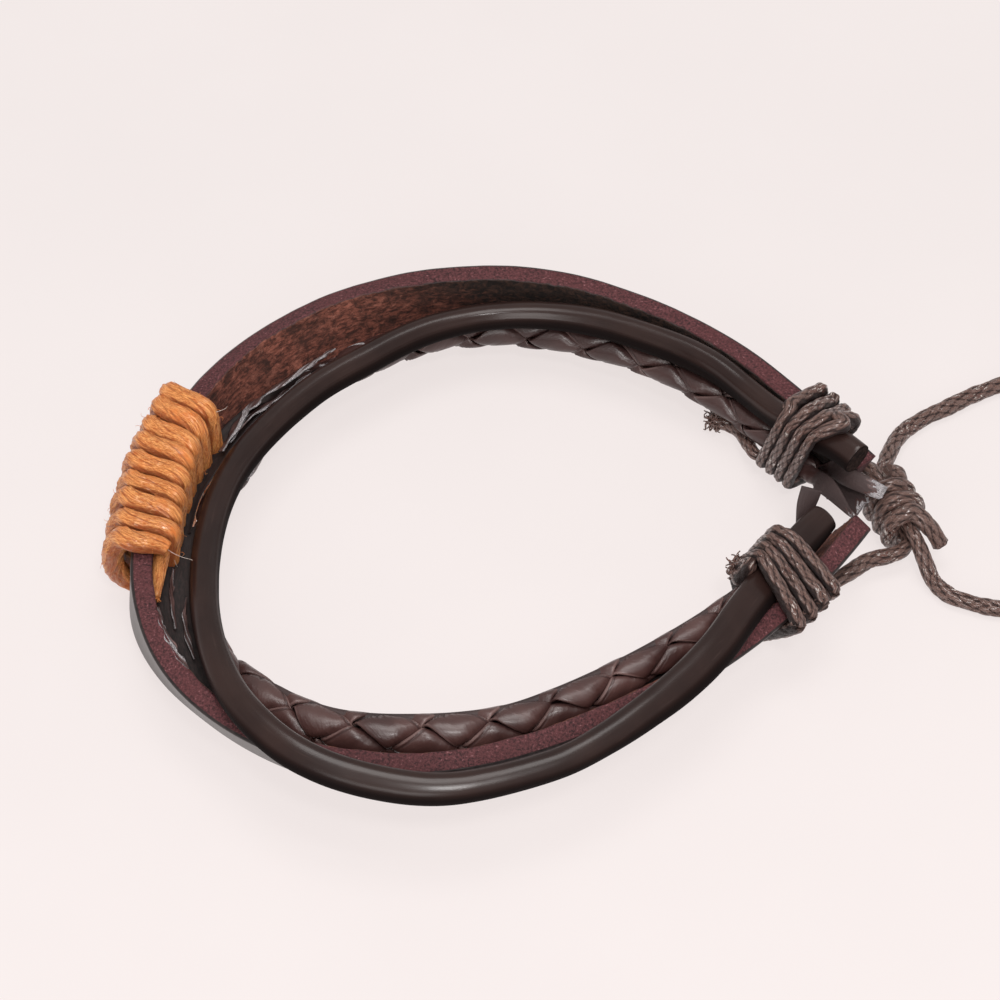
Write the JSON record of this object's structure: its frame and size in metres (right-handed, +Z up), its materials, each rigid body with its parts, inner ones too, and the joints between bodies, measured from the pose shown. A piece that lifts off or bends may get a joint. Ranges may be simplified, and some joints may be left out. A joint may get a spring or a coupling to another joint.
{
  "type": "leather bracelet",
  "caption": "Soft wrist loop of a flat strap, a smooth cord and a round braid laid side by side, bound with waxed cord and closed by a sliding knot on tie cords.",
  "frame": {"origin": "centre of the loop and its knots on the surface on which the bracelet lies, directly under the middle of its box without the free tie cords", "axes": "+X from the middle of the wrapped side to the sliding knot, +Y from the side that is nearest in the picture to the far side, +Z up from the surface"},
  "size_m": [0.0958, 0.067, 0.0139],
  "materials": {
    "strap_leather": "grain outside, suede inside, burgundy cut edges",
    "smooth_leather": "satin",
    "braided_leather": "glossy, worn",
    "orange_waxed_cord": "twisted fibres, waxed",
    "dark_waxed_cord": "braided fibres, waxed"
  },
  "bodies": {
    "root": {"flat_strap": "strap_leather", "smooth_cord": "smooth_leather", "braid_strand_1": "braided_leather", "braid_strand_2": "braided_leather", "braid_strand_3": "braided_leather", "braid_strand_4": "braided_leather", "orange_wrap": "orange_waxed_cord", "upper_knot": "dark_waxed_cord", "lower_knot": "dark_waxed_cord", "sliding_knot": "dark_waxed_cord", "upper_tie_cord": "dark_waxed_cord", "lower_tie_cord": "dark_waxed_cord"}
  },
  "joints": []
}
